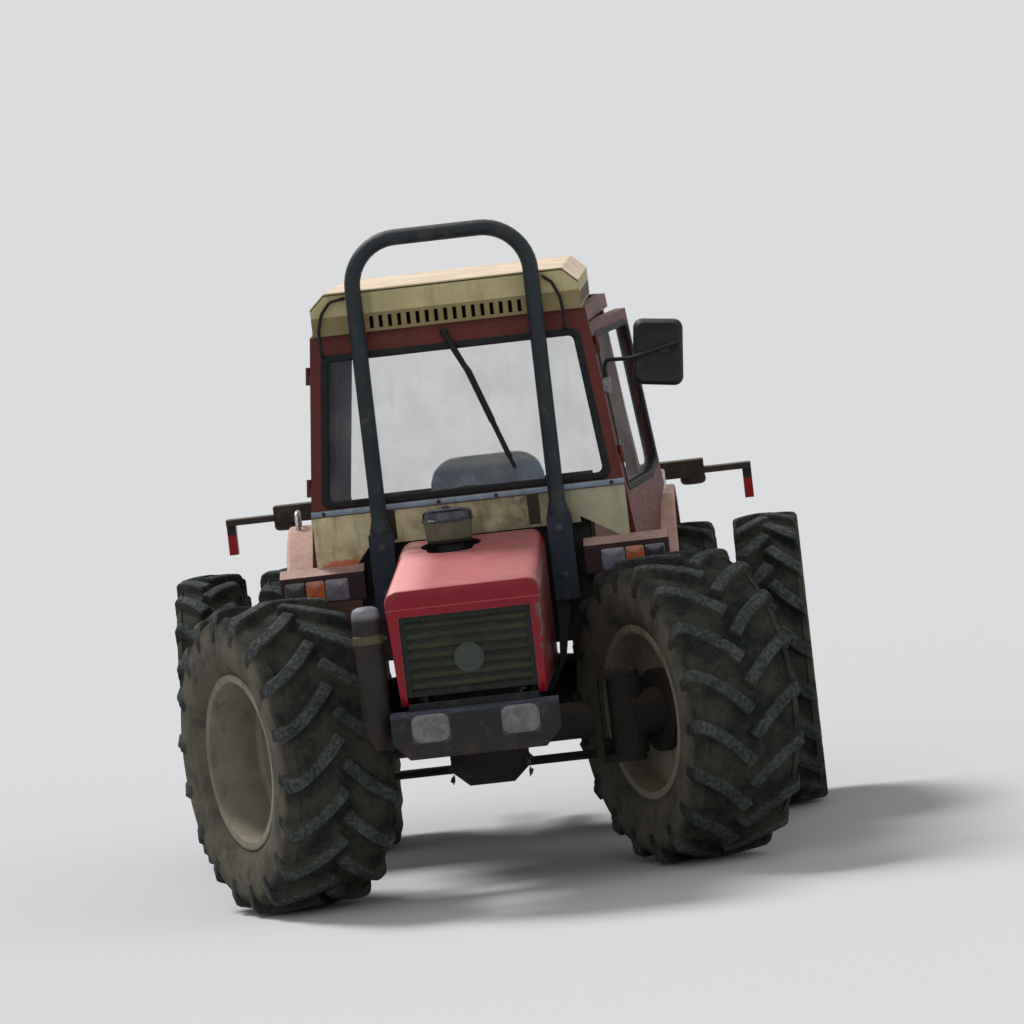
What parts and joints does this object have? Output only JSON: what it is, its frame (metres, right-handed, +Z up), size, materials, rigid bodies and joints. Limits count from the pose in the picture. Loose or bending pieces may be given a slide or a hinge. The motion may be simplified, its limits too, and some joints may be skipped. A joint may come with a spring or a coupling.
{
  "type": "narrow farm tractor with cab",
  "caption": "Narrow four-wheel-drive hill tractor with a small cab, a front roll hoop, a tipping bonnet, steered front wheels, twin rear wheels and a rear linkage.",
  "frame": {"origin": "on the ground, on the centre line, half way between the bumper and the ends of the lower links", "axes": "front faces -Y, +X to the machine's left, +Z up"},
  "size_m": [2.064, 2.86, 2.0555],
  "materials": {
    "black": "satin",
    "bonnet_red": "faded",
    "bumper": "worn satin",
    "cab_red": "weathered",
    "casting": "oily, dusty",
    "cleaner": "dusty",
    "cream": "stained",
    "exhaust": "heat stained",
    "floor": "worn",
    "glass": "dusty",
    "grille": "dusty",
    "hoop": "satin",
    "lens": "dusty",
    "rim": "weathered",
    "seat": "worn vinyl",
    "steel": "worn",
    "tyre": "worn, dusty"
  },
  "bodies": {
    "chassis": {"front_axle": "casting", "chassis_frame": "casting", "transmission_case": "casting", "rear_axle": "casting", "engine_block": "casting", "front_bumper": "bumper", "headlamps": "lens", "exhaust_silencer": "exhaust", "air_precleaner": "cleaner", "roll_hoop": "hoop", "hoop_sockets": "hoop", "cab_mounts": "black", "cab_floor": "floor", "cab_cowl": "cream", "cab_front_frame": "cab_red", "cab_rear_frame": "cab_red", "cab_side_left": "cab_red", "cab_side_right": "cab_red", "cab_glass": "glass", "roof": "cream", "seat_frame": "black", "seat_cushion": "seat", "seat_back": "seat", "steering_wheel": "black", "front_wings": "bonnet_red", "rear_fenders": "cab_red", "mirror": "black", "carrier_bar": "cab_red", "tail_lamps": "lens", "drawbar": "casting", "wiper": "black"},
    "front_wheel_left": {"front_tyre_left": "tyre", "front_rim_left": "rim"},
    "front_wheel_right": {"front_tyre_right": "tyre", "front_rim_right": "rim"},
    "rear_wheel_left": {"rear_tyre_left": "tyre", "rear_rim_left": "rim", "twin_tyre_left": "tyre", "twin_rim_left": "rim"},
    "rear_wheel_right": {"rear_tyre_right": "tyre", "rear_rim_right": "rim", "twin_tyre_right": "tyre", "twin_rim_right": "rim"},
    "knuckle_left": {"knuckle_left": "casting"},
    "knuckle_right": {"knuckle_right": "casting"},
    "tie_rod": {"tie_rod": "steel"},
    "bonnet": {"bonnet": "bonnet_red", "grille": "grille"},
    "door_left": {"door_left": "cab_red", "door_glass_left": "glass"},
    "door_right": {"door_right": "cab_red", "door_glass_right": "glass"},
    "lift_arms": {"lift_arms": "steel"},
    "lower_link_left": {"lower_link_left": "steel"},
    "lower_link_right": {"lower_link_right": "steel"},
    "lift_rod_left": {"lift_rod_left": "steel"},
    "lift_rod_right": {"lift_rod_right": "steel"}
  },
  "joints": [
    {"name": "steer_left", "type": "hinge", "parent": "chassis", "child": "knuckle_left", "pos_m": [0.44, -0.78, 0.4825], "axis": [0, 0, 1], "range_deg": [-54, 2]},
    {"name": "steer_right", "type": "hinge", "parent": "chassis", "child": "knuckle_right", "pos_m": [-0.44, -0.78, 0.4825], "axis": [0, 0, 1], "range_deg": [-54, 2]},
    {"name": "tie_rod_pivot", "type": "hinge", "parent": "knuckle_left", "child": "tie_rod", "pos_m": [0.35671, -0.60923, 0.3725], "axis": [0, 0, 1], "range_deg": [-2, 54]},
    {"name": "front_wheel_left_spin", "type": "hinge", "parent": "knuckle_left", "child": "front_wheel_left", "pos_m": [0.62425, -0.69013, 0.4825], "axis": [0.8988, 0.4384, 0], "continuous": true},
    {"name": "front_wheel_right_spin", "type": "hinge", "parent": "knuckle_right", "child": "front_wheel_right", "pos_m": [-0.62425, -0.86987, 0.4825], "axis": [0.8988, 0.4384, 0], "continuous": true},
    {"name": "rear_wheel_left_spin", "type": "hinge", "parent": "chassis", "child": "rear_wheel_left", "pos_m": [0.572, 0.63, 0.4825], "axis": [1, 0, 0], "continuous": true},
    {"name": "rear_wheel_right_spin", "type": "hinge", "parent": "chassis", "child": "rear_wheel_right", "pos_m": [-0.572, 0.63, 0.4825], "axis": [1, 0, 0], "continuous": true},
    {"name": "door_left_hinge", "type": "hinge", "parent": "chassis", "child": "door_left", "pos_m": [0.509, -0.252, 1.18], "axis": [0.1065, 0, -0.9943], "range_deg": [-5.5, 54.5]},
    {"name": "door_right_hinge", "type": "hinge", "parent": "chassis", "child": "door_right", "pos_m": [-0.509, -0.252, 1.18], "axis": [0.1065, 0, 0.9943], "range_deg": [0, 60]},
    {"name": "bonnet_hinge", "type": "hinge", "parent": "chassis", "child": "bonnet", "pos_m": [0, -1.35, 0.652], "axis": [1, 0, 0], "range_deg": [0, 65]},
    {"name": "hitch_lift", "type": "hinge", "parent": "chassis", "child": "lift_arms", "pos_m": [0, 0.78, 0.74], "axis": [1, 0, 0], "range_deg": [-22, 30]},
    {"name": "lower_link_left_pivot", "type": "hinge", "parent": "chassis", "child": "lower_link_left", "pos_m": [0.19, 0.78, 0.44], "axis": [1, 0, 0], "range_deg": [-22, 30]},
    {"name": "lower_link_right_pivot", "type": "hinge", "parent": "chassis", "child": "lower_link_right", "pos_m": [-0.19, 0.78, 0.44], "axis": [1, 0, 0], "range_deg": [-22, 30]},
    {"name": "lift_rod_left_pivot", "type": "hinge", "parent": "lift_arms", "child": "lift_rod_left", "pos_m": [0.19, 1.08, 0.74], "axis": [1, 0, 0], "range_deg": [-30, 22]},
    {"name": "lift_rod_right_pivot", "type": "hinge", "parent": "lift_arms", "child": "lift_rod_right", "pos_m": [-0.19, 1.08, 0.74], "axis": [1, 0, 0], "range_deg": [-30, 22]}
  ],
  "couplings": [
    {"joint": "steer_right", "follows": "steer_left", "ratio": 1},
    {"joint": "tie_rod_pivot", "follows": "steer_left", "ratio": -1},
    {"joint": "lower_link_left_pivot", "follows": "hitch_lift", "ratio": 1},
    {"joint": "lower_link_right_pivot", "follows": "hitch_lift", "ratio": 1},
    {"joint": "lift_rod_left_pivot", "follows": "hitch_lift", "ratio": -1},
    {"joint": "lift_rod_right_pivot", "follows": "hitch_lift", "ratio": -1}
  ]
}
